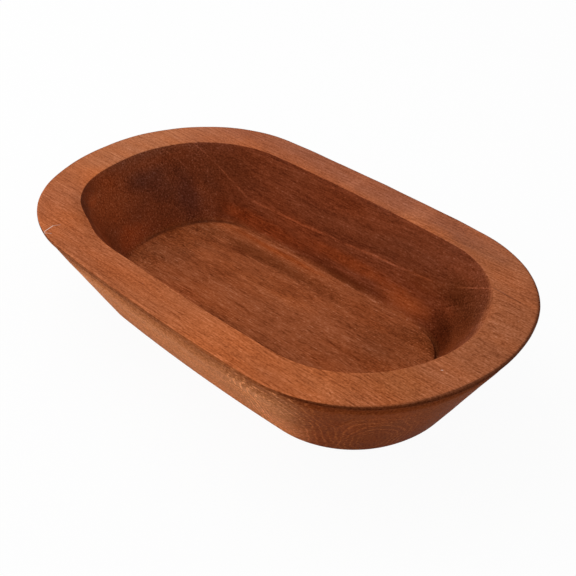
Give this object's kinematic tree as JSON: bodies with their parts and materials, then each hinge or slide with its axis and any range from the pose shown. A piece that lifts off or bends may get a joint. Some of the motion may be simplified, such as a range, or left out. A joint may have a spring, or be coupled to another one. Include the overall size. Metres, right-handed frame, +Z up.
{
  "type": "dough bowl",
  "caption": "Oblong carved wooden dough bowl with a wide flat rim, sloping walls and a flat base, cut from a blank of edge-glued boards.",
  "frame": {"origin": "centre of the flat base, on the surface that the bowl stands on", "axes": "+X along the bowl and its boards, +Y across the boards from front to back, +Z up"},
  "size_m": [0.345, 0.2032, 0.068],
  "materials": {
    "stained_wood": "reddish brown stain, dry satin, open grain"
  },
  "bodies": {
    "root": {"front_edge_board": "stained_wood", "front_wall_board": "stained_wood", "front_floor_board": "stained_wood", "front_middle_board": "stained_wood", "back_middle_board": "stained_wood", "back_floor_board": "stained_wood", "back_wall_board": "stained_wood", "back_edge_board": "stained_wood"}
  },
  "joints": []
}
